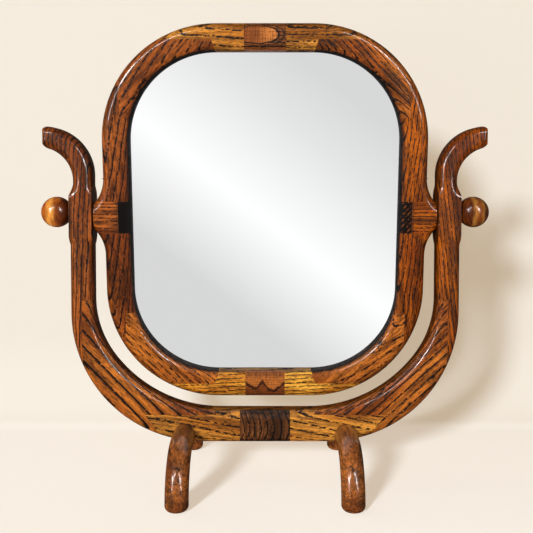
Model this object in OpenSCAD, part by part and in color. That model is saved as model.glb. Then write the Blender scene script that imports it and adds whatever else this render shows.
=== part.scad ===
// Swinging table mirror: a rounded wooden frame turns on two studs between the
// horned uprights of a stand that rests on two arched feet.
// The stand is centred on X, its front faces -Y, and Z is up from the table.

/* [Mirror frame] */
// Outside width of the frame
frame_w = 334; // [310:2:360]
// Outside height of the frame
frame_h = 392; // [366:2:420]
// Thickness of the frame, front to back
frame_t = 25; // [22:0.5:30]
// Width of the frame's band
band_w = 28.5; // [26:0.5:32]
// Outside radius of the frame's corners
corner_r = 118; // [108:1:126]
// Radius of the round-over along the frame's edges
frame_round = 8.5; // [5:0.5:9]
// Depth from the frame's front face to the glass
lip_t = 11; // [9.5:0.5:13]
// How far the rabbet runs under the lip
rabbet_w = 6.5; // [5:0.5:8]
// How far the mirror leans forward as it stands
rest_tilt = 7; // [0:0.5:10]

/* [Frame joints] */
// Width of the stile left outside a corner block
stile_strip = 20; // [16:1:23]
// Height of the rail left outside a corner block
rail_strip = 16; // [12:1:20]
// How far a stile runs past the start of the corner bend
stile_lap = 24; // [16:1:30]
// Slant of the scarf at the ends of a rail
rail_scarf = 4; // [2:0.5:8]
// Length of the keys let into the frame's rails
key_l = 42; // [30:1:56]
// Depth of the keys let into the frame's rails
key_t = 6; // [4:0.5:8]

/* [Pivots] */
// How far the boss stands out from the frame's edge
boss_reach = 10.2; // [8:0.2:14]
// Half height of the flat end of the boss
boss_flat = 14; // [12:0.5:18]
// Radius of the hollow that leads from the stile into the boss
boss_r = 39; // [30:1:48]
// Half height of the pivot block
block_half = 16.5; // [13:0.5:20]
// Depth of the pivot block from the frame's front
block_t = 19; // [17.5:0.5:20.5]
// Height of the pivot above the middle of the frame
pivot_rise = 4; // [0:0.5:6]
// Diameter of the pivot stud
stud_d = 6; // [5:0.5:8]
// Outside diameter of the threaded insert
insert_d = 9; // [8.5:0.5:11]
// Length of the threaded insert
insert_l = 13; // [10:1:16]
// How deep the stud reaches into the boss
stud_in = 19; // [16:1:22]
// How deep the stud reaches into the ball
stud_out = 18; // [14:1:22]
// Thickness of the friction washer
washer_t = 1; // [0.6:0.1:2]
// Outside diameter of the friction washer
washer_d = 18; // [14:1:20]
// Gap between the washer and the upright
swing_gap = 0.3; // [0.2:0.1:0.6]
// Diameter of the ball knob
ball_d = 32; // [28:1:36]
// Diameter of the flat seat on the ball knob
seat_d = 10; // [8:1:14]

/* [Stand] */
// Width of the uprights, seen from the front
upright_w = 23.5; // [21:0.5:27]
// Thickness of the stand, front to back
stand_t = 28; // [24:1:34]
// Radius of the round-over along the stand's edges
stand_round = 9; // [6:0.5:10]
// Height of the stand's bottom rail
rail_h = 33.5; // [29:0.5:38]
// Height of the rail's underside above the table
rail_z = 39.5; // [36:0.5:46]
// Gap between the stand's rail and the upright frame
swing_clear = 7; // [5:0.5:13]
// How much larger than the frame's corner the stand's outer bend is
outer_extra = 18; // [14:1:22]
// How much larger than the frame's corner the stand's inner bend is
bend_extra = 22; // [18:1:26]
// How much smaller than the frame's corner the blend into the upright is
blend_less = 18; // [12:1:22]
// Width of the upright left outside a corner block
upright_strip = 13; // [10:0.5:16]
// Thickness of the corner block's tongue over the rail
tongue_t = 3.5; // [2.5:0.5:6]
// Distance from the bend's start to the end of the tongue
tongue_gap = 4; // [2:1:10]
// Slant of the tongue's end
tongue_scarf = 5; // [3:0.5:8]
// Distance from the outer bend's start to the tip of the rail
scarf_reach = 59; // [52:1:66]
// Slant of the rail's end
scarf_run = 23; // [16:1:30]
// Length of the key let into the stand's rail
stand_key_l = 52; // [40:1:66]
// Depth of the key let into the stand's rail
stand_key_t = 8; // [6:0.5:10]

/* [Horns] */
// Height of the horn's tip above the pivot
horn_h = 89; // [80:1:100]
// Radius of the horn's inner sweep
horn_r = 51; // [46:1:56]
// Radius of the hollow under the horn
hollow_r = 35.4; // [32:0.2:38]
// Height of the hollow's centre above the pivot
hollow_rise = 32; // [28:1:36]
// How far the hollow is cut into the upright
hollow_bite = 3.1; // [1.5:0.1:4]
// How far the tip stands out from the upright
tip_reach = 27; // [22:1:30]
// Radius of the tip's upper corner
tip_top_r = 5; // [4.5:0.5:7]
// Radius of the tip's lower corner
tip_low_r = 8; // [6:0.5:9]
// Radius of the round-over at the tip
tip_round = 4; // [2:0.5:4]
// Distance from the pivot down to the end of the lower round-over
stop_below = 35; // [30:1:42]
// Distance from the pivot up to the start of the upper round-over
stop_above = 28; // [24:1:31]
// Radius of the router guide that leaves the scooped stops
guide_r = 6; // [4:0.5:8]

/* [Feet] */
// Diameter of the bent feet
foot_d = 23; // [19:0.5:26]
// How far each foot stands in from the side of the stand
foot_inset = 118; // [106:1:132]
// Distance from the middle of the stand to where a foot lands
foot_reach = 82; // [70:1:100]
// Height of the foot's centre line above the rail's underside
foot_rise = 9; // [6:0.5:12]
// Radius of the rounded edge where a foot lands
foot_round = 5; // [3:0.5:8]
// Diameter of the foot screws
foot_screw_d = 4; // [3:0.5:5]
// Length of the foot screws
foot_screw_l = 27; // [22:1:30]

/* [Glass and back] */
// Thickness of the mirror glass
glass_t = 3; // [2:0.5:4]
// Thickness of the backing board
board_t = 3; // [2:0.5:4.5]
// Gap round the glass in its rabbet
glass_gap = 0.5; // [0.3:0.1:1]
// Width of the metal of a retaining clip
clip_w = 12; // [8:1:16]
// Thickness of the metal of a retaining clip
clip_t = 1.2; // [0.8:0.1:1.6]
// Distance of the side clips above and below the frame's middle
clip_z = 60; // [45:1:72]
// Diameter of the clip screws
clip_screw_d = 3.5; // [3:0.25:4]
// Length of the clip screws
clip_screw_l = 12; // [9:0.5:14]

/* [Fits] */
// Radial clearance of the studs and screws in their holes
fit = 0.05; // [0.03:0.01:0.08]
// Clearance between a foot and its housing in the rail
housing_gap = 0.1; // [0.05:0.05:0.2]

/* [Hidden] */
$fn = 96;

// Overrun of every cutter past the wood
over = 1;
// How far a cutter stops short of a wall that another one makes
stop_off = 0.3;
// Rim of a countersunk head, and the flat at a screw's point
head_rim = 0.4;
point_r = 0.3;
// Spare depth of a hole past its screw or stud
spare = 0.5;

// Frame, measured from its own middle
half_w = frame_w / 2;
half_h = frame_h / 2;
sight_x = half_w - band_w;
sight_z = half_h - band_w;
bend_x = half_w - corner_r;
bend_z = half_h - corner_r;
stile_line = half_w - stile_strip;
rail_line = half_h - rail_strip;
stile_end = bend_z + stile_lap;
scarf_x = bend_x + 0.5;
front_y = -frame_t / 2;
glass_y = front_y + lip_t;
board_y = glass_y + glass_t;
clip_y = board_y + board_t;
boss_x = half_w + boss_reach;
// Height at which the hollow of the boss meets the stile's straight edge
boss_top = boss_flat + sqrt(boss_r * boss_r - (boss_r - boss_reach) * (boss_r - boss_reach));

// Stand, measured from the table
stand_in = boss_x + washer_t + swing_gap;
stand_out_x = stand_in + upright_w;
rail_top = rail_z + rail_h;
pivot_z = rail_top + swing_clear + half_h + pivot_rise;
outer_r = corner_r + outer_extra;
outer_cx = stand_out_x - outer_r;
outer_cz = rail_z + outer_r;
inner_r = corner_r + bend_extra;
blend_r = corner_r - blend_less;
// The blend and the inner bend touch where the line through their centres meets them.
// Its slope has short decimals, so that both arcs end in exactly the same plane.
blend_turn = acos(0.8);
centre_gap = inner_r - blend_r;
blend_cx = stand_in - blend_r;
inner_cx = blend_cx - centre_gap * cos(blend_turn);
inner_cz = rail_top + inner_r;
blend_cz = inner_cz - centre_gap * sin(blend_turn);
block_line = stand_out_x - upright_strip;
tongue_z = rail_top - tongue_t;
tongue_x = inner_cx + tongue_gap;
rail_tip = outer_cx + scarf_reach;

// Horn, measured from the middle of the stand and the table
horn_cx = stand_in + horn_r;
horn_cz = pivot_z + horn_h - horn_r;
hollow_cx = stand_out_x - hollow_bite + hollow_r;
hollow_cz = pivot_z + hollow_rise;
tip_x = stand_out_x + tip_reach;
tip_top = [
    tip_x - tip_top_r,
    horn_cz + sqrt(pow(horn_r - tip_top_r, 2) - pow(horn_cx - tip_x + tip_top_r, 2))
];
tip_low = [
    tip_x - tip_low_r,
    hollow_cz + sqrt(pow(hollow_r + tip_low_r, 2) - pow(hollow_cx - tip_x + tip_low_r, 2))
];
stop_low = pivot_z - stop_below;
stop_high = pivot_z + stop_above;

// Feet
foot_x = stand_out_x - foot_inset;
foot_r = foot_d / 2;
foot_z = rail_z + foot_rise;
foot_bend = foot_z - foot_round;

// Pivot parts
stud_r = stud_d / 2;
ball_r = ball_d / 2;
ball_seat = stand_out_x + swing_gap;
ball_x = ball_seat + sqrt(ball_r * ball_r - seat_d * seat_d / 4);

// Metalwork
clip_u = 13;
head_t = 1.8;

red_oak = [0.50, 0.24, 0.10];
amber_oak = [0.72, 0.45, 0.17];
dark_oak = [0.26, 0.13, 0.07];
end_oak = [0.42, 0.20, 0.09];

// General shapes

// A flat outline in X and Z, given a thickness about Y = 0
module slab(t) {
    translate([0, t / 2, 0])
        rotate([90, 0, 0])
            linear_extrude(t)
                children();
}

module flipped(on) {
    if (on) mirror([1, 0, 0]) children();
    else children();
}

// What a round-over takes from a corner at [0, 0] of wood that lies at +X and +Y
module cove(r) {
    difference() {
        translate([-over, -over]) square(r + over);
        translate([r, r]) circle(r);
    }
}

// Round-over on the front and back edges of a straight run up Z, wood at -X
module straight_cove(len, r, t) {
    for (back = [0, 1])
        mirror([0, back, 0])
            translate([0, -t / 2, 0])
                linear_extrude(len)
                    mirror([1, 0]) cove(r);
}

// Round-over on the front and back edges of an arc about the Y axis
module arc_cove(radius, from, to, r, t, convex) {
    for (back = [0, 1])
        mirror([0, back, 0])
            rotate([90, 0, 0])
                rotate([0, 0, from])
                    rotate_extrude(angle = to - from)
                        translate([radius, t / 2])
                            flipped(convex)
                                mirror([0, 1]) cove(r);
}

// The scoop left where the router stops: the cutter itself, standing still
module router_stop(r, t) {
    for (back = [0, 1])
        mirror([0, back, 0])
            rotate([90, 0, 0])
                rotate_extrude()
                    translate([0, t / 2])
                        mirror([0, 1])
                            difference() {
                                translate([0, -over]) square([guide_r + r, r + over]);
                                translate([guide_r + r, r]) circle(r);
                            }
}

// Countersunk screw pointing up Z, with its head's face at Z = 0
module flat_screw(d, len) {
    difference() {
        rotate_extrude()
            polygon([
                [0, 0], [d, 0], [d, head_rim], [d / 2, head_rim + d / 2],
                [d / 2, len - d / 2], [point_r, len], [0, len]
            ]);
        for (turn = [0, 90])
            rotate([0, 0, turn])
                cube([d * 1.1, d * 0.22, d * 0.7], center = true);
    }
}

module flat_screw_hole(d, len) {
    rotate_extrude()
        polygon([
            [0, -over - foot_r], [d + fit, -over - foot_r], [d + fit, head_rim],
            [d / 2 + fit, head_rim + d / 2], [d / 2 + fit, len + spare], [0, len + spare]
        ]);
}

// Frame

// Section of the frame: X outwards from the sight edge, Y towards the front
module frame_section() {
    difference() {
        translate([0, -frame_t / 2]) square([band_w, frame_t]);
        translate([-over, -frame_t / 2 - over])
            square([rabbet_w + over, frame_t - lip_t + over]);
        translate([0, frame_t / 2]) mirror([0, 1]) cove(frame_round);
        translate([band_w, frame_t / 2]) mirror([0, 1]) mirror([1, 0]) cove(frame_round);
        translate([band_w, -frame_t / 2]) mirror([1, 0]) cove(frame_round);
    }
}

// A straight run of the frame up Z, with the band going outwards to +X
module straight_band(len) {
    linear_extrude(len) mirror([0, 1]) frame_section();
}

// The bent quarter of the frame at the top right
module bent_band() {
    translate([bend_x, 0, bend_z])
        rotate([90, 0, 0])
            rotate_extrude(angle = 90)
                translate([corner_r - band_w, 0]) frame_section();
}

// Sets what is drawn about the frame's middle in its place in the stand
module in_frame() {
    translate([0, 0, pivot_z])
        rotate([rest_tilt, 0, 0])
            translate([0, 0, -pivot_rise])
                children();
}

module on_side(left) {
    if (left) mirror([1, 0, 0]) children();
    else children();
}

module at_end(bottom) {
    if (bottom) mirror([0, 0, 1]) children();
    else children();
}

module corner_outline() {
    polygon([
        [scarf_x, stile_end], [scarf_x, sight_z], [scarf_x + rail_scarf, rail_line],
        [stile_line, rail_line], [stile_line, stile_end]
    ]);
}

module corner_block() {
    intersection() {
        bent_band();
        slab(frame_t + 2 * over) corner_outline();
    }
}

// The part of the rail that runs into the bend
module rail_horn() {
    intersection() {
        bent_band();
        slab(frame_t + 2 * over)
            polygon([
                [bend_x - over, sight_z - over], [scarf_x, sight_z - over], [scarf_x, sight_z],
                [scarf_x + rail_scarf, rail_line], [half_w, rail_line],
                [half_w, half_h + over], [bend_x - over, half_h + over]
            ]);
    }
}

// The part of the stile that runs into the bend
module stile_horn() {
    intersection() {
        bent_band();
        slab(frame_t + 2 * over)
            polygon([
                [sight_x - over, bend_z - over], [half_w + over, bend_z - over],
                [half_w + over, half_h], [stile_line, half_h],
                [stile_line, stile_end], [sight_x - band_w, stile_end],
                [sight_x - band_w, bend_z - over]
            ]);
    }
}

module key_space() {
    translate([-key_l / 2, front_y - over, sight_z - over])
        cube([key_l, key_t + over, band_w + 2 * over]);
}

module rail_band() {
    translate([bend_x, 0, sight_z])
        rotate([0, -90, 0])
            straight_band(2 * bend_x);
}

// Centres of the screws of the clips: place on the frame and turn about Y
side_clips = [for (x = [-1, 1], z = [-1, 1]) [x * (sight_x + clip_u), z * clip_z]];
end_clips = [for (z = [-1, 1]) [0, z * (sight_z + clip_u)]];

module clip_screw_holes() {
    for (p = concat(side_clips, end_clips))
        translate([p[0], frame_t / 2 + over, p[1]])
            rotate([90, 0, 0])
                cylinder(h = clip_screw_l + over, r = clip_screw_d / 2 + fit);
}

module rail() {
    difference() {
        union() {
            rail_band();
            for (left = [false, true])
                on_side(left) rail_horn();
        }
        key_space();
        clip_screw_holes();
    }
}

module rail_key() {
    intersection() {
        rail_band();
        key_space();
    }
}

// The middle of the stile, where the boss swells out towards the upright
module boss_outline() {
    difference() {
        translate([sight_x, -boss_top]) square([boss_x - sight_x, 2 * boss_top]);
        for (z = [-1, 1])
            translate([half_w + boss_r, z * boss_top]) circle(boss_r);
    }
}

module boss_band() {
    difference() {
        slab(frame_t) boss_outline();
        translate([sight_x - over, glass_y, -boss_top - over])
            cube([rabbet_w + over, frame_t, 2 * (boss_top + over)]);
        translate([sight_x, front_y, -boss_top - over])
            linear_extrude(2 * (boss_top + over)) cove(frame_round);
        for (low = [false, true])
            at_end(low)
                translate([half_w + boss_r, 0, boss_top])
                    arc_cove(boss_r, 180, 250, frame_round, frame_t, false);
    }
}

module block_space() {
    translate([sight_x - over, front_y - over, -block_half])
        cube([boss_x - sight_x + 2 * over, block_t + over, 2 * block_half]);
}

module insert_hole() {
    translate([boss_x - stud_in - over, 0, pivot_rise])
        rotate([0, 90, 0])
            cylinder(h = stud_in + 2 * over, r = insert_d / 2 + fit);
}

module stile() {
    difference() {
        union() {
            boss_band();
            for (low = [false, true])
                at_end(low) {
                    translate([sight_x, 0, boss_top]) straight_band(bend_z - boss_top);
                    stile_horn();
                }
        }
        block_space();
        clip_screw_holes();
    }
}

module pivot_block() {
    difference() {
        intersection() {
            boss_band();
            block_space();
        }
        insert_hole();
    }
}

// Brass insert with a screwdriver slot and grooves that the glue keys into
module threaded_insert() {
    translate([boss_x - insert_l, 0, pivot_rise])
        rotate([0, 90, 0])
            difference() {
                cylinder(h = insert_l, r = insert_d / 2);
                translate([0, 0, -over]) cylinder(h = insert_l + 2 * over, r = stud_r + fit);
                for (k = [1:4])
                    translate([0, 0, k * insert_l / 5])
                        rotate_extrude()
                            translate([insert_d / 2 - 0.4, -0.5]) square([1, 1]);
                translate([0, 0, insert_l])
                    cube([1.2, insert_d + over, 2.4], center = true);
            }
}

module friction_washer() {
    translate([boss_x, 0, pivot_rise])
        rotate([0, 90, 0])
            difference() {
                cylinder(h = washer_t, r = washer_d / 2);
                translate([0, 0, -over]) cylinder(h = washer_t + 2 * over, r = stud_r + 3 * fit);
            }
}

// Glass and back

module pane_outline() {
    x = sight_x + rabbet_w - glass_gap;
    z = sight_z + rabbet_w - glass_gap;
    r = corner_r - band_w + rabbet_w - glass_gap;
    translate([-x, -z + r]) square([2 * x, 2 * (z - r)]);
    translate([-x + r, -z]) square([2 * (x - r), 2 * z]);
    for (i = [-1, 1], k = [-1, 1])
        translate([i * (x - r), k * (z - r)]) circle(r);
}

module pane(y, t) {
    translate([0, y + t / 2, 0]) slab(t) pane_outline();
}

// One offset clip: X runs outwards from the sight edge, the screw's place is X = clip_u
module clip() {
    foot = band_w - frame_round - 1;
    riser = rabbet_w - 0.2;
    back = frame_t / 2;
    translate([0, 0, -clip_w / 2])
        difference() {
            linear_extrude(clip_w)
                polygon([
                    [spare, clip_y], [riser, clip_y], [riser, back], [foot, back],
                    [foot, back + clip_t], [riser - clip_t, back + clip_t],
                    [riser - clip_t, clip_y + clip_t], [spare, clip_y + clip_t]
                ]);
            translate([clip_u, back - over, clip_w / 2])
                rotate([-90, 0, 0])
                    cylinder(h = clip_t + 2 * over, r = clip_screw_d / 2 + 2 * fit);
        }
}

// Pan-headed screw with its head on the clip, pointing into the frame
module clip_screw() {
    translate([0, frame_t / 2 + clip_t, 0])
        rotate([90, 0, 0])
            difference() {
                rotate_extrude()
                    polygon([
                        [0, -head_t], [clip_screw_d * 0.6, -head_t], [clip_screw_d, -head_t * 0.4],
                        [clip_screw_d, 0], [clip_screw_d / 2, 0],
                        [clip_screw_d / 2, clip_screw_l - 3], [point_r, clip_screw_l - spare],
                        [0, clip_screw_l - spare]
                    ]);
                for (turn = [0, 90])
                    rotate([0, 0, turn])
                        translate([0, 0, -head_t])
                            cube([clip_screw_d * 1.1, 0.8, head_t], center = true);
            }
}

// Stand

// The room inside the stand's bend, right half
module stand_hollow() {
    far = 4 * inner_r;
    high = pivot_z + 2 * horn_h;
    translate([-over, rail_top]) square([inner_cx + over, high]);
    translate([-over, blend_cz]) square([stand_in + over, high]);
    translate([blend_cx, blend_cz]) circle(blend_r);
    intersection() {
        translate([inner_cx, inner_cz]) circle(inner_r);
        polygon([
            [inner_cx, inner_cz], [inner_cx, inner_cz - far],
            [inner_cx + far, inner_cz - far],
            [inner_cx + far * cos(blend_turn), inner_cz - far * sin(blend_turn)]
        ]);
    }
}

// Everything inside the stand's outer edge, right half, up to the pivot's height
module stand_cover() {
    square_top = pivot_z - outer_cz;
    translate([-over, rail_z]) square([outer_cx + over, outer_r]);
    intersection() {
        translate([outer_cx, outer_cz]) circle(outer_r);
        translate([outer_cx, rail_z]) square(outer_r);
    }
    translate([-over, outer_cz]) square([stand_out_x + over, square_top]);
}

module stand_outline() {
    difference() {
        stand_cover();
        stand_hollow();
    }
}

// Round-over along the outside of the bend, right half
module outer_cove() {
    translate([outer_cx, 0, outer_cz])
        arc_cove(outer_r, 270, 360, stand_round, stand_t, true);
}

// Round-overs along the inside of the bend, right half
module inner_coves() {
    translate([blend_cx, 0, blend_cz])
        arc_cove(blend_r, 360 - blend_turn, 360, stand_round, stand_t, false);
    translate([inner_cx, 0, inner_cz])
        arc_cove(inner_r, 270, 360 - blend_turn, stand_round, stand_t, false);
}

module rail_coves() {
    translate([-outer_cx, 0, rail_z])
        rotate([0, 90, 0])
            straight_cove(2 * outer_cx, stand_round, stand_t);
    translate([inner_cx, 0, rail_top])
        rotate([0, -90, 0])
            straight_cove(2 * inner_cx, stand_round, stand_t);
}

// Outline of the rail, with its scarfed ends under the corner blocks
module rail_outline() {
    slope = scarf_run / (tongue_z - rail_z);
    polygon([
        [-over, rail_z - over], [rail_tip - scarf_run - slope * over, rail_z - over],
        [rail_tip, tongue_z], [tongue_x, tongue_z],
        [tongue_x + tongue_scarf, rail_top + over], [-over, rail_top + over]
    ]);
}

module stand_key_space() {
    translate([-stand_key_l / 2, -stand_t / 2 - over, rail_z - over])
        cube([stand_key_l, stand_key_t + over, rail_h + 2 * over]);
}

// The groove across the rail's underside that a foot is glued into
module foot_housing() {
    r = foot_r + housing_gap;
    translate([foot_x, stand_t, foot_z])
        rotate([90, 0, 0]) cylinder(h = 2 * stand_t, r = r);
    translate([foot_x - r, -stand_t, rail_z - over])
        cube([2 * r, 2 * stand_t, foot_rise + over]);
}

module foot_screw_place() {
    translate([foot_x, 0, foot_z - foot_r + 1])
        children();
}

module half_rail() {
    intersection() {
        stand_outline();
        rail_outline();
    }
}

module rail_blank() {
    difference() {
        slab(stand_t)
            union() {
                half_rail();
                mirror([1, 0]) half_rail();
            }
        rail_coves();
        for (left = [false, true])
            on_side(left) {
                outer_cove();
                inner_coves();
            }
    }
}

module stand_rail() {
    color(amber_oak)
        difference() {
            rail_blank();
            stand_key_space();
            for (left = [false, true])
                on_side(left) {
                    foot_housing();
                    foot_screw_place() flat_screw_hole(foot_screw_d, foot_screw_l);
                }
        }
}

module stand_key() {
    color(dark_oak)
        intersection() {
            rail_blank();
            stand_key_space();
        }
}

// A hollow cut round the Y axis that carries its own round-over on both faces
module spool(radius, from, to) {
    rotate([90, 0, 0])
        rotate([0, 0, from])
            mirror([0, to < from ? 1 : 0, 0])
                rotate_extrude(angle = abs(to - from)) {
                    translate([0, -stand_t]) square([radius, 2 * stand_t]);
                    for (back = [0, 1])
                        mirror([0, back])
                            translate([radius, stand_t / 2]) mirror([0, 1]) cove(stand_round);
                }
}

module stand_block() {
    difference() {
        slab(stand_t)
            difference() {
                intersection() {
                    stand_cover();
                    square([block_line, blend_cz]);
                }
                rail_outline();
                translate([-over, rail_top]) square([inner_cx + over, outer_r]);
            }
        outer_cove();
        translate([inner_cx, 0, inner_cz]) spool(inner_r, 360 - blend_turn, 190);
        translate([blend_cx, 0, blend_cz]) spool(blend_r, 360 - blend_turn, 361);
    }
}

// What rounds off the two corners of the horn's tip
module tip_corners() {
    far = tip_x + horn_r;
    lean = (tip_top - [horn_cx, horn_cz]) / norm(tip_top - [horn_cx, horn_cz]);
    difference() {
        polygon([
            tip_top, [far, tip_top[1]], [far, horn_cz + 2 * horn_r],
            [horn_cx + 2 * horn_r * lean[0], horn_cz + 2 * horn_r * lean[1]]
        ]);
        translate(tip_top) circle(tip_top_r);
    }
    difference() {
        polygon([tip_low, [hollow_cx, hollow_cz], [far, hollow_cz], [far, tip_low[1]]]);
        translate(tip_low) circle(tip_low_r);
    }
}

// The upright's outline up to where its inner edge starts to bend
module upright_outline() {
    intersection() {
        stand_cover();
        translate([block_line, rail_z]) square([upright_strip + over, pivot_z - rail_z]);
    }
    translate([stand_in, blend_cz]) square([upright_w, horn_cz - blend_cz]);
    // The core that carries the straight neck on into the horn
    translate([stand_in + stand_round + over, horn_cz - over])
        square([upright_w - stand_round - over, 2 * over]);
}

// A quarter disc with rounded edges, from which the horn is cut
module horn_blank() {
    intersection() {
        translate([horn_cx, 0, horn_cz])
            rotate([90, 0, 0])
                rotate([0, 0, 90])
                    rotate_extrude(angle = 90)
                        difference() {
                            translate([0, -stand_t / 2]) square([horn_r, stand_t]);
                            for (back = [0, 1])
                                mirror([0, back])
                                    translate([horn_r, stand_t / 2])
                                        mirror([1, 0]) mirror([0, 1]) cove(stand_round);
                        }
        translate([stand_in - over, -stand_t, horn_cz - over])
            cube([tip_x - stand_in + over, 2 * stand_t, horn_r + 2 * over]);
    }
}

// Round-overs of the upright below its square middle
module lower_coves() {
    translate([stand_out_x, 0, outer_cz])
        straight_cove(stop_low - outer_cz, stand_round, stand_t);
    translate([stand_in, 0, stop_low])
        rotate([0, 180, 0])
            straight_cove(stop_low - blend_cz + over, stand_round, stand_t);
    for (x = [stand_out_x + guide_r, stand_in - guide_r])
        translate([x, 0, stop_low]) router_stop(stand_round, stand_t);
}

// Round-over of the inner edge between the square middle and the horn
module neck_coves() {
    translate([stand_in - guide_r, 0, stop_high]) router_stop(stand_round, stand_t);
    translate([stand_in, 0, horn_cz])
        rotate([0, 180, 0])
            straight_cove(horn_cz - stop_high, stand_round, stand_t);
}

// The hollow under the horn, plain below the place where the router stops
module horn_hollow() {
    path_r = hollow_r - guide_r;
    turn = asin((hollow_cz - stop_high) / path_r);
    translate([hollow_cx, 0, hollow_cz]) {
        spool(hollow_r, 75, 180 + turn);
        rotate([90, 0, 0])
            rotate([0, 0, 180 + turn])
                rotate_extrude(angle = 60)
                    translate([0, -stand_t]) square([hollow_r, 2 * stand_t]);
    }
    translate([hollow_cx - (path_r - stop_off) * cos(turn), 0, stop_high])
        router_stop(stand_round, stand_t);
}

module tip_coves() {
    slab(2 * stand_t) tip_corners();
    translate([tip_x, 0, horn_cz])
        straight_cove(horn_r + over, tip_round, stand_t);
}

module upright() {
    difference() {
        union() {
            difference() {
                slab(stand_t) upright_outline();
                outer_cove();
                lower_coves();
                neck_coves();
            }
            horn_blank();
        }
        horn_hollow();
        tip_coves();
        translate([stand_in - over, 0, pivot_z])
            rotate([0, 90, 0])
                cylinder(h = upright_w + 2 * over, r = stud_r + fit);
    }
}

// Feet

// One arm of the foot: half of its level run, the bend and the rounded end
module foot_arm() {
    run = foot_reach - foot_bend;
    rotate([90, 0, 0]) cylinder(h = run, r = foot_r);
    translate([0, -run, -foot_bend])
        rotate([90, 0, 90])
            rotate([0, 0, 90])
                rotate_extrude(angle = 90)
                    translate([foot_bend, 0]) circle(foot_r);
    translate([0, -foot_reach, -foot_z])
        rotate_extrude() {
            square([foot_r - foot_round, foot_round]);
            intersection() {
                translate([foot_r - foot_round, foot_round]) circle(foot_round);
                square([foot_r, foot_round]);
            }
        }
}

module foot() {
    color(end_oak)
        difference() {
            translate([foot_x, 0, foot_z])
                for (back = [0, 1])
                    mirror([0, back, 0]) foot_arm();
            foot_screw_place() flat_screw_hole(foot_screw_d, foot_screw_l);
        }
}

// Pivot parts

module ball_knob() {
    seat = ball_seat - ball_x;
    bore = stud_r + fit;
    color(red_oak)
        translate([ball_x, 0, pivot_z])
            rotate([0, 90, 0])
                rotate_extrude()
                    difference() {
                        intersection() {
                            circle(ball_r);
                            translate([0, seat]) square(2 * ball_r);
                        }
                        translate([-over, seat - over])
                            square([bore + over, stud_out + spare + over]);
                    }
}

module stud() {
    color("silver")
        translate([boss_x - stud_in, 0, pivot_z])
            rotate([0, 90, 0])
                cylinder(h = stud_in + ball_seat - boss_x + stud_out, r = stud_r);
}

module whole_stile(left) {
    color(red_oak) in_frame() on_side(left) stile();
}

module whole_block(left, bottom) {
    color(red_oak) in_frame() on_side(left) at_end(bottom) corner_block();
}

module frame_rail(bottom) {
    color(amber_oak) in_frame() at_end(bottom) rail();
}

module frame_key(bottom) {
    color(dark_oak) in_frame() at_end(bottom) rail_key();
}

module frame_pivot_block(left) {
    color(end_oak) in_frame() on_side(left) pivot_block();
}

module frame_insert(left) {
    color("gold") in_frame() on_side(left) threaded_insert();
}

module frame_washer(left) {
    color([0.15, 0.12, 0.1]) in_frame() on_side(left) friction_washer();
}

module mirror_glass() {
    color([0.8, 0.85, 0.87]) in_frame() pane(glass_y, glass_t);
}

module backing_board() {
    color([0.45, 0.32, 0.2]) in_frame() pane(board_y, board_t);
}

module retaining_clips() {
    color("silver")
        in_frame() {
            for (left = [false, true], z = [-1, 1])
                on_side(left) translate([sight_x, 0, z * clip_z]) clip();
            for (bottom = [false, true])
                at_end(bottom)
                    translate([0, 0, sight_z]) rotate([0, -90, 0]) clip();
        }
}

module clip_screws() {
    color("gray")
        in_frame()
            for (p = concat(side_clips, end_clips))
                translate([p[0], 0, p[1]]) clip_screw();
}

module stand_upright(left) {
    color(red_oak) on_side(left) upright();
}

module stand_corner(left) {
    color(red_oak) on_side(left) stand_block();
}

module foot_screws() {
    color("gray")
        for (left = [false, true])
            on_side(left)
                foot_screw_place() flat_screw(foot_screw_d, foot_screw_l);
}

frame_rail(false);  // frame_top_rail
frame_rail(true);  // frame_bottom_rail
whole_stile(true);  // frame_left_stile
whole_stile(false);  // frame_right_stile
whole_block(true, false);  // frame_top_left_block
whole_block(false, false);  // frame_top_right_block
whole_block(true, true);  // frame_bottom_left_block
whole_block(false, true);  // frame_bottom_right_block
frame_key(false);  // frame_top_key
frame_key(true);  // frame_bottom_key
frame_pivot_block(true);  // left_pivot_block
frame_pivot_block(false);  // right_pivot_block
frame_insert(true);  // left_threaded_insert
frame_insert(false);  // right_threaded_insert
frame_washer(true);  // left_friction_washer
frame_washer(false);  // right_friction_washer
mirror_glass();
backing_board();
retaining_clips();
clip_screws();
stand_rail();
stand_key();
stand_upright(true);  // left_upright
stand_upright(false);  // right_upright
stand_corner(true);  // stand_left_block
stand_corner(false);  // stand_right_block
on_side(true) foot();  // left_foot
on_side(false) foot();  // right_foot
foot_screws();
on_side(true) ball_knob();  // left_ball_knob
on_side(false) ball_knob();  // right_ball_knob
on_side(true) stud();  // left_stud
on_side(false) stud();  // right_stud
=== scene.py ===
import bpy
import bmesh
import math
from mathutils import Matrix, Vector


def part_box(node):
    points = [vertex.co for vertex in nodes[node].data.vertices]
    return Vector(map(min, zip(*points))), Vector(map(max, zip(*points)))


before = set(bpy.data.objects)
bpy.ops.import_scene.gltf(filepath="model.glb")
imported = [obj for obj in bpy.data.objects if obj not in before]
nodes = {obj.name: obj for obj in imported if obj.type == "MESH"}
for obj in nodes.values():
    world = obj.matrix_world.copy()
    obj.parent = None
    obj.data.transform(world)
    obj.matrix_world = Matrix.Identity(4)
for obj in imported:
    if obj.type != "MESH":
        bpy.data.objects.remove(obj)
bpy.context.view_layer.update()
print("frame loaded:", len(nodes), "nodes")

mm = 0.001
tiny = 1e-6
pivotHeight = 0.280
mirrorLean = math.radians(7)


def colour(red, green, blue):
    # a colour picked on a screen, 0 to 255, as the light values that the shaders take
    channels = [c / 255 for c in (red, green, blue)]
    return tuple(c / 12.92 if c <= 0.04045 else ((c + 0.055) / 1.055) ** 2.4 for c in channels) + (1,)


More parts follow.
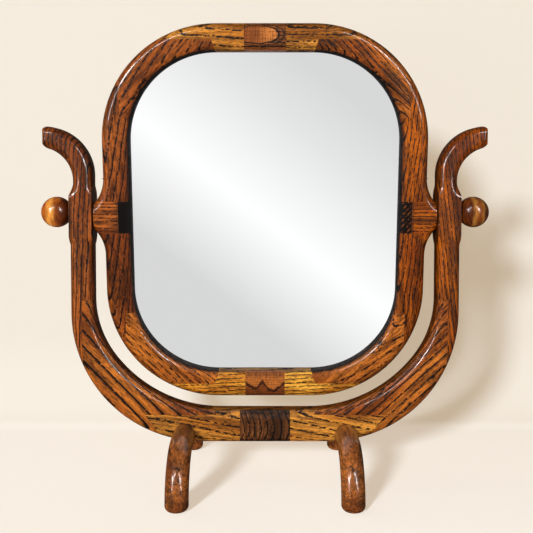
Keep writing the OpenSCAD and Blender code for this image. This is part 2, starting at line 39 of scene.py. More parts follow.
# shader helpers

class Value:
    # one number in a material, so that masks can be written as sums
    def __init__(self, shader, socket):
        self.shader, self.socket = shader, socket

    def maths(self, operation, *others):
        return self.shader.maths(operation, self, *others)

    def __add__(self, other):
        return self.maths("ADD", other)

    def __sub__(self, other):
        return self.maths("SUBTRACT", other)

    def __mul__(self, other):
        return self.maths("MULTIPLY", other)

    def __truediv__(self, other):
        return self.maths("DIVIDE", other)

    def __pow__(self, other):
        return self.maths("POWER", other)

    def __rsub__(self, other):
        return self.shader.maths("SUBTRACT", other, self)

    __radd__ = __add__
    __rmul__ = __mul__

    def smooth(self, low, high):
        # 0 below low, 1 above high, eased in between
        made = self.shader.node(
            "MapRange", {"interpolation_type": "SMOOTHSTEP"},
            {"Value": self, "From Min": low, "From Max": high})
        return Value(self.shader, made.outputs[0])

    def between(self, low, lowEnd, highStart, high):
        # 1 between the two inner values, 0 outside the two outer ones
        return self.smooth(low, lowEnd) * (1 - self.smooth(highStart, high))

    def size(self):
        return self.maths("ABSOLUTE")

    def capped(self):
        return self.maths("MINIMUM", 1.0)

    def part(self):
        return self.maths("FRACT")


class Shader:
    # the nodes of one material, or of the world
    def __init__(self, name, kind="materials"):
        self.owner = getattr(bpy.data, kind).new(name)
        self.owner.use_nodes = True
        self.tree = self.owner.node_tree
        self.tree.nodes.clear()

    def node(self, kind, settings=None, inputs=None):
        made = self.tree.nodes.new("ShaderNode" + kind)
        for key, value in (settings or {}).items():
            if key == "stops":
                ramp = made.color_ramp
                while len(ramp.elements) < len(value):
                    ramp.elements.new(0.5)
                for element, (place, tint) in zip(ramp.elements, value):
                    element.position, element.color = place, tint
            else:
                setattr(made, key, value)
        for key, value in (inputs or {}).items():
            if isinstance(value, Value):
                value = value.socket
            if isinstance(value, bpy.types.NodeSocket):
                self.tree.links.new(value, made.inputs[key])
            else:
                made.inputs[key].default_value = value
        return made

    def maths(self, operation, *values):
        made = self.node("Math", {"operation": operation}, dict(enumerate(values)))
        return Value(self, made.outputs[0])

    def split(self, vector):
        made = self.node("SeparateXYZ", {}, {0: vector})
        return [Value(self, made.outputs[i]) for i in range(3)]

    def join(self, x, y, z):
        return self.node("CombineXYZ", {}, {0: x, 1: y, 2: z}).outputs[0]

    def noise(self, vector, scale=1, detail=2, roughness=0.5):
        made = self.node("TexNoise", {}, {
            "Vector": vector, "Scale": scale, "Detail": detail, "Roughness": roughness})
        return Value(self, made.outputs[0])

    def mix(self, factor, first, second):
        # two colours
        made = self.node("Mix", {"data_type": "RGBA"}, {0: factor, 6: first, 7: second})
        return made.outputs[2]

    def choose(self, factor, first, second):
        # two finished shaders
        return self.node("MixShader", {}, {0: factor, 1: first, 2: second}).outputs[0]

    def glow(self, tint, strength):
        return self.node("Emission", {}, {"Color": tint, "Strength": strength}).outputs[0]

    def place(self, turn=(0, 0, 0), shift=(0, 0, 0)):
        # the place on the object, turned first and moved after
        spot = self.node("TexCoord").outputs["Object"]
        made = self.node("Mapping", {}, {"Vector": spot, "Rotation": turn, "Location": shift})
        return made.outputs[0]

    def finish(self, bump=None, depth=0.0002, strength=1.0, **sockets):
        shown = self.node("BsdfPrincipled", {}, {k.replace("_", " "): v for k, v in sockets.items()})
        if bump is not None:
            raised = self.node("Bump", {}, {"Height": bump, "Distance": depth, "Strength": strength})
            self.tree.links.new(raised.outputs[0], shown.inputs["Normal"])
        return self.show(shown.outputs[0])

    def show(self, surface, output="OutputMaterial"):
        self.node(output, {}, {"Surface": surface})
        return self.owner


def dress(names, material):
    for name in names:
        piece = nodes[name]
        piece.data.materials.clear()
        piece.data.materials.append(material)


# woods

# the grain colour of each wood also serves as the painted shade on faces turned away from the front
woodTones = {
    "walnutRed": {
        "light": colour(184, 98, 36), "middle": colour(132, 63, 21),
        "deep": colour(64, 31, 12), "grainAndShade": colour(16, 9, 6)},
    "russet": {
        "light": colour(192, 97, 12), "middle": colour(142, 63, 6),
        "deep": colour(68, 31, 7), "grainAndShade": colour(16, 8, 4)},
    "chestnut": {
        "light": colour(212, 122, 42), "middle": colour(164, 82, 25),
        "deep": colour(82, 41, 15), "grainAndShade": colour(17, 10, 6)},
    "amber": {
        "light": colour(238, 162, 64), "middle": colour(194, 118, 40),
        "deep": colour(106, 58, 18), "grainAndShade": colour(24, 14, 9)},
    "honey": {
        "light": colour(254, 186, 68), "middle": colour(222, 138, 38),
        "deep": colour(150, 80, 18), "grainAndShade": colour(32, 17, 9)},
    "dark": {
        "light": colour(150, 88, 42), "middle": colour(104, 60, 29),
        "deep": colour(48, 28, 15), "grainAndShade": colour(14, 9, 7)},
    "turned": {
        "light": colour(206, 110, 34), "middle": colour(140, 66, 20),
        "deep": colour(54, 21, 8), "grainAndShade": colour(20, 9, 5)},
    "footBrown": {
        "light": colour(188, 108, 46), "middle": colour(134, 70, 28),
        "deep": colour(78, 43, 20), "grainAndShade": colour(18, 11, 8)},
}

alongX, alongZ, alongY = (0, 0, 0), (0, math.radians(90), 0), (0, 0, math.radians(-90))


def slant(degrees):
    # grain that climbs at that angle from +X towards +Z
    return (0, math.radians(degrees), 0)


# brings the pivot to the middle, after a turn by the mirror's lean
wallShift = tuple(Matrix.Rotation(-mirrorLean, 3, "X") @ Vector((0, 0, -pivotHeight)))


# how often each layer of the grain changes in a metre, along it and across it
grainScales = {"drift": (9, 22), "fibre": (26, 400), "cell": (190, 640), "tone": (7, 40),
               "flame": (13, 110), "breaks": (240, 420), "stain": (19, 66)}
# where each mask of the grain starts and where it is full; turned is painted shade on faces turned away from
# the front, and wall is the black round the glass, partly stain and partly painted shade
grainAndShadeMasks = {"early": (0.0, 0.05, 0.16, 0.36), "pores": (0.54, 0.61), "patch": (0.74, 0.8),
              "tone": (0.38, 0.62), "flame": (0.46, 0.62), "fibre": (0.42, 0.6),
              "turned": (0.45, 1.1), "wall": (0.55, 0.88)}
grainRelief = {"depth": 0.0002, "strength": 0.35}
varnish = {"weight": 0.85, "lossInGrain": 0.45, "least": 0.03, "ior": 1.42}
underVarnish = {"roughness": 0.28, "specular": 0.2}
# the black round the glass is partly dark stain in the rabbet and partly painted shade of that recess
sightBlack = colour(12, 9, 8)
paleSight, darkSight = 0.55, 0.97  # how much of that black lies on the wall round the glass


# edge is how much painted shade darkens faces turned away from the front, and sightWall how much black lies
# on the wall round the glass
def makeWood(name, tones, turn=alongZ, seed=0.0, pith=(60, 90), lean=(0.0, 0.0), ringGap=5.0,
             line=1.0, pore=0.8, streak=0.7, blotch=0.8, dash=0.52, waver=0.010,
             edge=0.45, sheen=0.035, sightWall=0.0, figure=None):
    shader = Shader(name + "Wood")
    hue = woodTones[tones]
    along, across, through = shader.split(shader.place(turn))

    def layer(key, detail, roughness=0.5, shift=(0, 0, 0)):
        lengthwise, crosswise = grainScales[key]
        spot = [along * lengthwise, across * crosswise, through * crosswise]
        spot = [place + move if move else place for place, move in zip(spot, shift)]
        return shader.noise(shader.join(*spot), detail=detail, roughness=roughness)

    drift = layer("drift", 2, shift=(seed, 0, 0)) - 0.5
    side = across - pith[0] * mm + along * lean[0] + drift * waver
    back = through - pith[1] * mm + along * lean[1]
    ring = (side * side + back * back) ** 0.5 / (ringGap * mm) + drift * 0.9
    early = ring.part().between(*grainAndShadeMasks["early"])

    fibre = layer("fibre", 3, shift=(seed, 0, 0))
    cell = layer("cell", 1, shift=(0, seed, 0))
    tone = layer("tone", 3, shift=(0, seed * 3, 0))
    flame = layer("flame", 4, roughness=0.6, shift=(seed * 2, 0, 0))
    breaks = layer("breaks", 2, roughness=0.6, shift=(0, 0, seed))
    stain = layer("stain", 4, roughness=0.65, shift=(seed * 5, 0, 0))

    lines = early * breaks.smooth(dash - 0.13, dash - 0.04) * line
    pores = cell.smooth(*grainAndShadeMasks["pores"]) * (early * 0.3 + flame * 1.3) * pore
    patch = (stain + fibre * 0.22).smooth(*grainAndShadeMasks["patch"]) * blotch
    dark = (lines + pores + patch).capped()

    body = shader.mix(tone.smooth(*grainAndShadeMasks["tone"]), hue["middle"], hue["light"])
    body = shader.mix(flame.smooth(*grainAndShadeMasks["flame"]) * streak, body, hue["deep"])
    body = shader.mix(fibre.smooth(*grainAndShadeMasks["fibre"]) * streak * 0.8, body, hue["deep"])
    if figure:
        body, dark = figure(shader, name, body, dark)
    body = shader.mix(dark, body, hue["grainAndShade"])

    # painted shade where the surface turns away from the front, and the black sight edge, partly dark stain
    # in the rabbet and partly painted shade of that recess
    nx, ny, nz = shader.split(shader.node("TexCoord").outputs["Normal"])
    turned = (1 - ny.size()).smooth(*grainAndShadeMasks["turned"])
    body = shader.mix(turned * edge, body, hue["grainAndShade"])
    wall = 0.0
    if sightWall:
        x, y, z = shader.split(shader.place((-mirrorLean, 0, 0), wallShift))
        outward = (x * nx + z * nz) / (x * x + z * z) ** 0.5
        wall = (0 - outward).smooth(*grainAndShadeMasks["wall"]) * sightWall
        body = shader.mix(wall, body, sightBlack)

    coat = (varnish["weight"] - dark * varnish["lossInGrain"] - wall).maths("MAXIMUM", varnish["least"])
    return shader.finish(
        bump=(1 - dark) * 0.8 + fibre * 0.25, **grainRelief, Base_Color=body,
        Roughness=underVarnish["roughness"] + dark * 0.2 + tone * 0.06 + wall * 0.4,
        Specular_IOR_Level=underVarnish["specular"],
        Coat_Weight=coat, Coat_Roughness=sheen, Coat_IOR=varnish["ior"])


def onFace(shader, name):
    # places on a node's front, from -1 to 1 across and up it, and in metres
    low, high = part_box(name)
    x, y, z = shader.split(shader.place())
    across = (x - (low[0] + high[0]) / 2) / ((high[0] - low[0]) / 2)
    up = (z - (low[2] + high[2]) / 2) / ((high[2] - low[2]) / 2)
    return across, up, x, y, z


ovalSettings = {
    "middle": (-0.42, 0.14), "half": (1.1, 0.66), "rim": (0.9, 0.96, 1.0, 1.08),
    "echo": (1.16, 1.2, 1.24, 1.3), "deep": colour(150, 82, 38), "light": colour(218, 134, 66),
    "fibre": colour(92, 46, 22),
}


def ovalKnot(shader, name, body, dark):
    # the oval figure in the frame's top key, open to the left
    s = ovalSettings
    across, up, x, y, z = onFace(shader, name)
    wave = shader.noise(shader.join(x * 110, 0.0, z * 170), detail=2) - 0.5
    u = (across - s["middle"][0]) / s["half"][0]
    v = (up - s["middle"][1]) / (s["half"][1] + across * 0.05)
    reach = (u * u + v * v) ** 0.5 + wave * 0.28
    rim = reach.between(*s["rim"])
    echo = reach.between(*s["echo"]) * 0.7
    inside = 1 - reach.smooth(0.9, 1.0)
    comb = shader.noise(shader.join(x * 1000, 0.0, z * 60), detail=1).smooth(0.44, 0.58)
    lit = shader.mix(inside * across.smooth(-0.6, 0.5), s["deep"], s["light"])
    lit = shader.mix(comb * 0.6, lit, s["fibre"])
    body = shader.mix(0.35 + inside * 0.6, body, lit)
    return body, (dark * (1 - inside * 0.6) + rim * 0.9 + echo).capped()


bowTieSettings = {
    "peak": -0.12, "peakHalf": 0.22, "peakHeight": 0.95, "ends": 0.9, "drop": 0.75,
    "line": (-0.16, -0.06, 0.02, 0.16), "below": colour(132, 66, 26), "above": colour(204, 118, 50),
    "fibre": colour(86, 42, 20),
}


def bowTie(shader, name, body, dark):
    # a wavy dark line that dips twice across the frame's bottom key
    s = bowTieSettings
    across, up, x, y, z = onFace(shader, name)
    wave = shader.noise(shader.join(x * 240, 0.0, z * 240), detail=3) - 0.5
    peak = (across - s["peak"]) / s["peakHalf"]
    curve = (peak * peak + 1) ** -1.0 * s["peakHeight"] + across * across * s["ends"] - s["drop"]
    over = up - curve + wave * 0.55
    line = over.between(*s["line"])
    comb = shader.noise(shader.join(x * 900, 0.0, z * 120), detail=1).smooth(0.45, 0.6)
    lit = shader.mix(over.smooth(0.0, 0.3), s["below"], s["above"])
    lit = shader.mix(comb * 0.4 + up.smooth(0.45, 0.8) * 0.5, lit, s["fibre"])
    return shader.mix(0.8, body, lit), (dark * 0.5 + line * 0.75).capped()


ballSettings = {
    "bands": 1.4, "moreOnRight": 0.9, "first": -0.25, "second": 1.0,
    "shade": colour(58, 23, 9), "pale": colour(246, 166, 72),
}


def ballBands(shader, name, body, dark):
    # upright bands of the turned balls: pale in the middle, more on the right ball, which is darker overall;
    # each ball is darkened towards its right side as painted shade
    s = ballSettings
    across, up, x, y, z = onFace(shader, name)
    onRight = x.smooth(-0.01, 0.01)
    wave = shader.noise(shader.join(x * 220, y * 90, z * 90), detail=3) - 0.5
    bands = across * (s["bands"] + onRight * s["moreOnRight"]) + wave * 0.9 + up * up * 0.2 - onRight * 0.12
    first = 1 - (bands - s["first"]).size().smooth(0.05, 0.55)
    second = (1 - (bands - s["second"]).size().smooth(0.05, 0.4)) * onRight
    pale = (first + second).capped()
    # painted shade: each ball darker towards its right side, less on the right ball
    shade = across.smooth(0.2, 0.8) * (1 - onRight * 0.5) * 0.7
    body = shader.mix(pale * 0.8, body, s["pale"])
    body = shader.mix(onRight * 0.55, body, s["shade"])
    return shader.mix(shade, body, s["shade"]), dark * (1 - pale * 0.7)


# the black end runs from the glass to this far from the middle, in metres, and the seam follows it
blackEndSettings = {
    "end": (0.1512, 0.1518), "seam": (0.1532, 0.1540),
    "black": colour(17, 14, 13), "slash": colour(138, 72, 26), "seamTone": colour(74, 44, 28),
}


def blackEnd(shader, name, body, dark):
    # the pivot blocks end in black wood at the sight edge, with slanted lights on the right one
    s = blackEndSettings
    x, y, z = shader.split(shader.place())
    away = x.size()
    end = 1 - away.smooth(*s["end"])
    seam = away.between(*s["end"], *s["seam"])
    slash = (z * 170 - away * 200).part()
    wave = shader.noise(shader.join(x * 300, 0.0, z * 300), detail=1).smooth(0.42, 0.6)
    onRight = x.smooth(0.0, 0.01)
    light = slash.between(0.55, 0.7, 0.85, 1.0) * wave * onRight
    black = shader.mix(light * 0.8, s["black"], s["slash"])
    tinted = shader.mix(seam * 0.6, body, s["seamTone"])
    return shader.mix(end, tinted, black), dark * (1 - end)


def footCracks(shader, name, body, dark):
    # short dark checks across the bent feet
    x, y, z = shader.split(shader.place())
    wave = shader.noise(shader.join(x * 90, y * 50, z * 50), detail=2) - 0.5
    course = (z * 95 - y * 40 + wave * 1.6).part()
    rough = shader.noise(shader.join(x * 260, y * 90, z * 90), detail=2)
    check = (1 - course.smooth(0.03, 0.1)) * rough.smooth(0.5, 0.56)
    speckle = shader.noise(shader.join(x * 620, y * 620, z * 620), detail=2).smooth(0.6, 0.68)
    return body, (dark * 0.7 + check * 0.95 + speckle * 0.25).capped()


def curvedRings(shader, name, body, dark):
    # upright rings, bowed and closer at the left, in the stand's key
    across, up, x, y, z = onFace(shader, name)
    wave = shader.noise(shader.join(x * 90, y * 90, z * 90), detail=3) - 0.5
    place = across + up * up * 0.2 + 1.15
    ring = (place ** 0.75 * 5.2 + wave * 0.55).part()
    rough = shader.noise(shader.join(x * 500, y * 500, z * 500), detail=2)
    lines = ring.between(0.0, 0.08, 0.2, 0.36) * rough.smooth(0.3, 0.45)
    edge = up.size().smooth(0.62, 0.95) * 0.55 + rough.smooth(0.52, 0.6) * 0.35
    return body, (dark * 0.6 + lines * 0.95 + edge).capped()


# turn is the way the grain runs, seed shifts it, and pith is the middle of the rings beside and behind
# the piece, in millimetres as ringGap is; a frame piece's wall round the glass is blackened, partly as dark
# stain in the rabbet and partly as painted shade of that recess
frameWoods = {
    "frame_left_stile": dict(
        tones="walnutRed", turn=alongZ, seed=1.3, pith=(150, 60), lean=(0.03, 0.05), ringGap=3.8),
    "frame_right_stile": dict(
        tones="russet", turn=alongZ, seed=7.1, pith=(-120, 70), lean=(0.02, 0.06), ringGap=3.9),
    "frame_top_left_block": dict(
        tones="walnutRed", turn=slant(50), seed=3.7, pith=(-380, 40), ringGap=4.9, dash=0.56, blotch=1.0),
    "frame_top_right_block": dict(
        tones="chestnut", turn=slant(-42), seed=5.9, pith=(-300, 60), ringGap=3.4, dash=0.5, streak=0.8),
    "frame_bottom_left_block": dict(
        tones="chestnut", turn=slant(-42), seed=9.2, pith=(40, 60), ringGap=4.1, dash=0.56),
    "frame_bottom_right_block": dict(
        tones="chestnut", turn=slant(38), seed=2.6, pith=(-30, 50), ringGap=4.9, dash=0.6),
    "frame_top_rail": dict(
        tones="amber", turn=alongX, seed=4.4, pith=(10, 430), lean=(0.0, 0.05), ringGap=4.1,
        dash=0.55, blotch=0.9),
    "frame_bottom_rail": dict(
        tones="honey", turn=alongX, seed=8.3, pith=(20, 120), lean=(0.0, -0.06), ringGap=3.8),
}
otherWoods = {
    "frame_top_key": dict(
        tones="dark", turn=alongX, seed=2.2, pith=(0, 500), ringGap=2.5, edge=0.3, figure=ovalKnot),
    "frame_bottom_key": dict(
        tones="dark", turn=alongX, seed=6.5, pith=(0, 30), ringGap=2.5, figure=bowTie),
    "stand_key": dict(
        tones="dark", turn=alongZ, seed=1.9, pith=(200, 60), ringGap=3.3, line=0.4, figure=curvedRings),
    "left_upright": dict(
        tones="walnutRed", turn=alongZ, seed=5.1, pith=(-60, 90), lean=(0.02, 0.03), ringGap=4.0, dash=0.47),
    "right_upright": dict(
        tones="russet", turn=slant(98), seed=8.8, pith=(80, 90), lean=(0.0, 0.03), ringGap=3.8,
        line=0.9, dash=0.5),
    "stand_left_block": dict(
        tones="chestnut", turn=slant(-46), seed=0.7, pith=(120, 60), ringGap=6.1, dash=0.44, blotch=1.0),
    "stand_right_block": dict(
        tones="chestnut", turn=slant(42), seed=6.1, pith=(60, 50), ringGap=5.3,
        line=0.95, dash=0.5, blotch=1.0),
    "stand_rail": dict(
        tones="amber", turn=slant(-8), seed=3.1, pith=(20, 10), lean=(0.0, 0.06), ringGap=6.6,
        waver=0.02, dash=0.55, blotch=1.0),
    "left_foot": dict(
        tones="footBrown", turn=alongY, seed=4.9, pith=(50, 90), ringGap=4.1,
        line=0.3, edge=0.12, sheen=0.11, figure=footCracks),
    "right_foot": dict(
        tones="footBrown", turn=alongY, seed=7.7, pith=(-50, 90), ringGap=4.1,
        line=0.3, edge=0.12, sheen=0.11, figure=footCracks),
    "left_pivot_block": dict(
        tones="walnutRed", turn=alongX, seed=3.3, pith=(0, 225), ringGap=3.6,
        waver=0.004, sightWall=darkSight, figure=blackEnd),
    "right_pivot_block": dict(
        tones="russet", turn=alongX, seed=9.9, pith=(0, 230), ringGap=3.9,
        waver=0.004, sightWall=darkSight, figure=blackEnd),
    "left_ball_knob": dict(
        tones="turned", turn=alongZ, seed=2.9, pith=(-225, 0), ringGap=7.0,
        line=0.3, pore=0.3, streak=0.4, blotch=0.3, edge=0.1, figure=ballBands),
    "right_ball_knob": dict(
        tones="turned", turn=alongZ, seed=4.1, pith=(280, 0), ringGap=5.0,
        line=0.6, pore=0.3, streak=0.4, blotch=0.3, edge=0.1, figure=ballBands),
}
for look in frameWoods.values():
    look["sightWall"] = paleSight if look["tones"] in ("amber", "honey") else darkSight
for name, look in {**frameWoods, **otherWoods}.items():
    dress([name], makeWood(name, **look))
print("woods done")


# glass, back and metal

def makeMirror():
    # sharp enough that its reflected rays count as singular in the stage's materials
    shader = Shader("silveredGlass")
    return shader.finish(Base_Color=(0.955, 0.96, 0.96, 1), Metallic=1.0, Roughness=0.0)


hardboardTones = {"felt": colour(112, 78, 50), "fuzz": colour(150, 108, 72), "cloud": colour(92, 62, 40)}


def makeHardboard(s):
    shader = Shader("hardboard")
    spot = shader.place()
    felt = shader.noise(spot, scale=900, detail=3)
    cloud = shader.noise(spot, scale=18, detail=3)
    body = shader.mix(felt.smooth(0.3, 0.7), s["felt"], s["fuzz"])
    body = shader.mix(cloud.smooth(0.4, 0.7) * 0.35, body, s["cloud"])
    return shader.finish(bump=felt, depth=0.0002, strength=0.5, Base_Color=body,
                         Roughness=0.78 - felt * 0.1)


metalSettings = {
    "turnedBrass": dict(tint=colour(214, 174, 98), shade=colour(166, 126, 62), rough=0.24),
    "zincPlate": dict(tint=colour(196, 196, 192), shade=colour(150, 150, 144), rough=0.3),
    "brightSteel": dict(tint=colour(190, 190, 190), shade=colour(140, 140, 140), rough=0.22),
    "darkHide": dict(
        tint=colour(46, 32, 24), shade=colour(26, 18, 14), rough=0.6, metallic=0.0, scratch=(700, 700, 700)),
}


def makeMetal(name, tint, shade, rough, metallic=1.0, scratch=(40, 900, 900)):
    # streaked and a little stained; the hide is made the same way, without the metal
    shader = Shader(name)
    x, y, z = shader.split(shader.place())
    brushed = shader.noise(shader.join(x * scratch[0], y * scratch[1], z * scratch[2]), detail=3)
    stain = shader.noise(shader.place(), scale=160, detail=3)
    body = shader.mix(stain.smooth(0.4, 0.75), tint, shade)
    return shader.finish(bump=brushed, depth=0.00005, strength=0.4, Base_Color=body,
                         Metallic=metallic, Roughness=rough + stain * 0.12)


dress(["mirror_glass"], makeMirror())
dress(["backing_board"], makeHardboard(hardboardTones))
for names, look, slot in (
        (["left_threaded_insert", "right_threaded_insert"], "turnedBrass", "brass"),
        (["retaining_clips", "clip_screws"], "zincPlate", "zinc_steel"),
        (["foot_screws", "left_stud", "right_stud"], "brightSteel", "steel"),
        (["left_friction_washer", "right_friction_washer"], "darkHide", "leather")):
    dress(names, makeMetal(look, **metalSettings[look]))
print("glass, back and metal done")


# stage

# lit and the two glows make up the paper that the camera sees, and flag is what the varnish sees of
# it; facing is the way that its shading turns everywhere, so that floor and wall match in tone
stageSettings = {
    "paper": colour(245, 236, 222), "fleck": colour(228, 218, 204), "flag": (0.05, 0.045, 0.04, 1),
    "lit": (0.46, 0.51, 0.545, 1), "glow": (0.98, 0.762, 0.524, 1), "floorGlow": (1.16, 0.95, 0.74, 1),
    "glowShare": 0.52, "floorEdge": 0.005, "facing": (-0.75, -0.45, 0.48),
    "wallDistance": 0.24, "coveRadius": 0.10, "halfWidth": 3.0, "floorFront": -4.0, "wallTop": 2.6,
}
# the mirror's image, a bright slanted band on pale grey: greys at places across the band, in pixels
# of the picture, and the mirrored camera's y and z, its slope, and pixels down and across
bandSettings = {
    "eye": (0.7466, 0.502), "slope": 0.29033, "pixels": (588.2, 459.6), "strength": 1.05,
    "greys": [(-140, 215), (-83, 228), (7, 254), (14, 253), (97, 214.5)],
}


def makeStudioView(shader, s):
    # what a mirror in the object's place sees, laid out by where it lies before the object
    x, y, z = shader.split(shader.place())
    away = s["eye"][0] - y
    across = x / away
    down = (s["eye"][1] - z) / away
    slope = s["slope"]
    cosine = 1 / math.sqrt(1 + slope * slope)
    height = (down - slope) / (1 + down * slope)
    width = across * (cosine - height * (slope * cosine))
    band = height * s["pixels"][0] - width * s["pixels"][1]
    first, last = s["greys"][0][0], s["greys"][-1][0]
    spread = (band - first) / (last - first)
    stops = [((place - first) / (last - first), colour(grey, grey, grey)) for place, grey in s["greys"]]
    ramp = shader.node("ValToRGB", {"stops": stops}, {0: spread})
    return shader.glow(ramp.outputs[0], s["strength"])


reflectedOnly = ("camera", "diffuse", "shadow", "transmission")  # the rays that don't meet such a thing


def addStageObject(name, bm, material, hiddenFrom=()):
    mesh = bpy.data.meshes.new(name)
    bm.to_mesh(mesh)
    bm.free()
    mesh.materials.append(material)
    made = bpy.data.objects.new(name, mesh)
    bpy.context.scene.collection.objects.link(made)
    for rays in hiddenFrom:
        setattr(made, "visible_" + rays, False)


def makePaper(s):
    # matt and lit to the camera, dim to the varnish, the studio view to the mirror, clear from behind
    shader = Shader("paper")
    path = shader.node("LightPath")
    spot = shader.place()
    facing = shader.join(*s["facing"])
    fleck = shader.noise(spot, scale=700, detail=2).smooth(0.3, 0.7)
    tint = shader.mix(path.outputs["Is Camera Ray"], s["paper"], s["lit"])
    tint = shader.mix(fleck * 0.02, tint, s["fleck"])
    onFloor = 1 - shader.split(spot)[2].smooth(0.0, s["floorEdge"])
    glowTint = shader.mix(onFloor, s["glow"], s["floorGlow"])

    matt = shader.node("BsdfDiffuse", {}, {"Color": tint, "Normal": facing}).outputs[0]
    flag = shader.node("BsdfDiffuse", {}, {"Color": s["flag"], "Normal": facing}).outputs[0]
    glow = shader.glow(glowTint, s["glowShare"])
    lit = shader.node("AddShader", {}, {0: matt, 1: glow}).outputs[0]
    clear = shader.node("BsdfTransparent").outputs[0]

    shown = shader.choose(path.outputs["Is Glossy Ray"], matt, flag)
    shown = shader.choose(path.outputs["Is Camera Ray"], shown, lit)
    shown = shader.choose(path.outputs["Is Singular Ray"], shown, makeStudioView(shader, bandSettings))
    return shader.show(shader.choose(shader.node("NewGeometry").outputs["Backfacing"], shown, clear))


def newVerts(out):
    return [g for g in out if isinstance(g, bmesh.types.BMVert)]


def newEdges(out):
    return [g for g in out if isinstance(g, bmesh.types.BMEdge)]


def makeStage(s):
    # a floor that runs up through a cove into a wall
    bm = bmesh.new()
    start = [bm.verts.new((x, s["floorFront"], 0)) for x in (-s["halfWidth"], s["halfWidth"])]
    coveStart = s["wallDistance"] - s["coveRadius"]
    out = bmesh.ops.extrude_edge_only(bm, edges=[bm.edges.new(start)])["geom"]
    bmesh.ops.translate(bm, vec=(0, coveStart - s["floorFront"], 0), verts=newVerts(out))
    last = [e for e in newEdges(out) if all(abs(v.co.y - coveStart) < tiny for v in e.verts)]
    turned = bmesh.ops.spin(
        bm, geom=last, cent=(0, coveStart, s["coveRadius"]), axis=(1, 0, 0), dvec=(0, 0, 0),
        angle=math.radians(90), steps=24, use_duplicate=False)
    out = bmesh.ops.extrude_edge_only(bm, edges=newEdges(turned["geom_last"]))["geom"]
    bmesh.ops.translate(bm, vec=(0, 0, s["wallTop"]), verts=newVerts(out))
    bmesh.ops.remove_doubles(bm, verts=bm.verts, dist=tiny)
    for face in bm.faces:
        face.normal_update()
        if face.normal.z - face.normal.y < 0:
            face.normal_flip()
        face.smooth = True
    addStageObject("paperSweep", bm, makePaper(s))


makeStage(stageSettings)


# a card close before the object that only the mirror's sharp rays meet
cardSettings = {"distance": 0.30, "halfWidth": 0.9, "height": 0.62, "bottom": 0.002}


def makeCard(s):
    shader = Shader("reflectedCard")
    mirrored = shader.node("LightPath").outputs["Is Singular Ray"]
    clear = shader.node("BsdfTransparent").outputs[0]
    card = shader.show(shader.choose(mirrored, clear, makeStudioView(shader, bandSettings)))
    bm = bmesh.new()
    bmesh.ops.create_grid(bm, x_segments=1, y_segments=1, size=1)
    bmesh.ops.scale(bm, vec=(s["halfWidth"], s["height"] / 2, 1), verts=bm.verts)
    bmesh.ops.rotate(bm, cent=(0, 0, 0), matrix=Matrix.Rotation(math.radians(90), 3, "X"), verts=bm.verts)
    bmesh.ops.translate(bm, vec=(0, -s["distance"], s["bottom"] + s["height"] / 2), verts=bm.verts)
    addStageObject("reflectedCard", bm, card, reflectedOnly)


makeCard(cardSettings)


# a soft key that only lights matt surfaces, a light from behind, and two small lamps that show in
# the varnish alone as short bright lights
warmWhite = (1.0, 0.985, 0.96)
lampTarget = Vector((0, 0, 0.25))
lampSettings = {
    "keyLamp": dict(place=(-2.9, -5.9, 2.6), size=1.1, power=448, tint=warmWhite, matt=True),
    "backLight": dict(place=(-0.9, 2.4, 1.5), size=1.2, power=60, tint=warmWhite, matt=True, gloss=True),
    "leftShine": dict(place=(-1.196, -1.196, 0.896), size=0.36, power=12, gloss=True),
    "rightShine": dict(place=(0.970, -1.386, 0.896), size=0.36, power=9, gloss=True),
}


def addLamp(name, place, size, power, tint=(1, 1, 1), matt=False, gloss=False):
    data = bpy.data.lights.new(name, "AREA")
    data.shape, data.size, data.energy, data.color = "DISK", size, power, tint
    lamp = bpy.data.objects.new(name, data)
    bpy.context.scene.collection.objects.link(lamp)
    lamp.location = place
    lamp.rotation_mode = "QUATERNION"
    lamp.rotation_quaternion = (lampTarget - Vector(place)).to_track_quat("-Z", "Y")
    lamp.visible_camera = False
    lamp.visible_glossy, lamp.visible_diffuse = gloss, matt


for name, look in lampSettings.items():
    addLamp(name, **look)

# bowed strip lights about the line of sight: the varnish shows them as long lines along the bends
stripSettings = {
    "leftStrip": dict(first=112, last=180, strength=32),
    "rightStrip": dict(first=0, last=66, strength=32),
}
stripShape = {"radius": 1.15, "front": -1.25, "height": 0.28, "half": 0.05, "slope": (0.8, 0.6), "steps": 24}


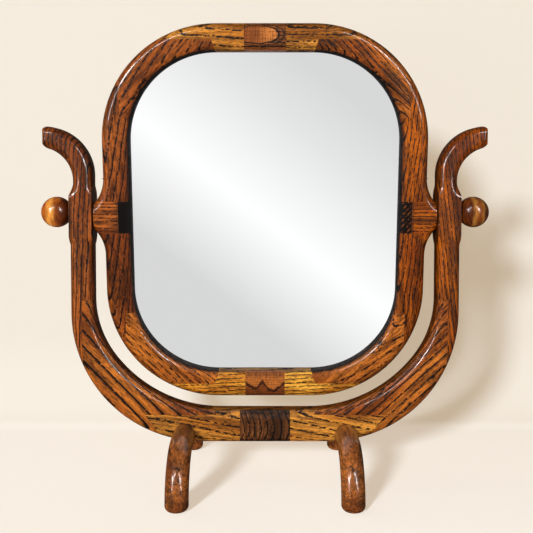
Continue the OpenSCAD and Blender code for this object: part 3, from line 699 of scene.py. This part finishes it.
def addStrip(name, first, last, strength):
    # from the first angle to the last about the line of sight, in degrees up from +X
    shader = Shader(name)
    light = shader.show(shader.glow((1, 1, 1, 1), strength))
    s = stripShape
    start = math.radians(first)
    bm = bmesh.new()
    ends = []
    for half in (-s["half"], s["half"]):
        radius = s["radius"] + half * s["slope"][0]
        ends.append(bm.verts.new((
            math.cos(start) * radius, s["front"] + half * s["slope"][1],
            s["height"] + math.sin(start) * radius)))
    bmesh.ops.spin(
        bm, geom=[bm.edges.new(ends)], cent=(0, s["front"], s["height"]), axis=(0, -1, 0), dvec=(0, 0, 0),
        angle=math.radians(last - first), steps=s["steps"], use_duplicate=False)
    addStageObject(name, bm, light, reflectedOnly)


for name, look in stripSettings.items():
    addStrip(name, **look)

# the world: cream to the camera, pale grey in the mirror, nearly dark in the varnish, dim elsewhere
worldSettings = {
    "fill": (0.15, 0.145, 0.135, 1),
    "rays": {"Is Glossy Ray": (0.02, 0.02, 0.02, 1), "Is Singular Ray": (0.72, 0.72, 0.72, 1),
             "Is Camera Ray": stageSettings["paper"]},
}


def makeWorld(s):
    shader = Shader("studio", "worlds")
    path = shader.node("LightPath")
    shown = shader.node("Background", {}, {"Color": s["fill"]}).outputs[0]
    for ray, tint in s["rays"].items():
        other = shader.node("Background", {}, {"Color": tint}).outputs[0]
        shown = shader.choose(path.outputs[ray], shown, other)
    bpy.context.scene.world = shader.show(shown, "OutputWorld")


makeWorld(worldSettings)
print("stage and lamps done")


# camera, in metres, degrees and millimetres of lens

cameraSettings = {
    "place": (0.0, -0.78, 0.3146), "pitch": 2.19, "lens": 50.42, "sensor": 36, "shift": (0.0028, -0.1109),
    "clip": (0.01, 50),
}
cameraData = bpy.data.cameras.new("photoCamera")
camera = bpy.data.objects.new("photoCamera", cameraData)
bpy.context.scene.collection.objects.link(camera)
bpy.context.scene.camera = camera
camera.location = cameraSettings["place"]
camera.rotation_euler = (math.radians(90 - cameraSettings["pitch"]), 0, 0)
cameraData.sensor_width = cameraSettings["sensor"]
cameraData.lens = cameraSettings["lens"]
cameraData.shift_x, cameraData.shift_y = cameraSettings["shift"]
cameraData.clip_start, cameraData.clip_end = cameraSettings["clip"]

bpy.context.scene.view_settings.view_transform = "Standard"
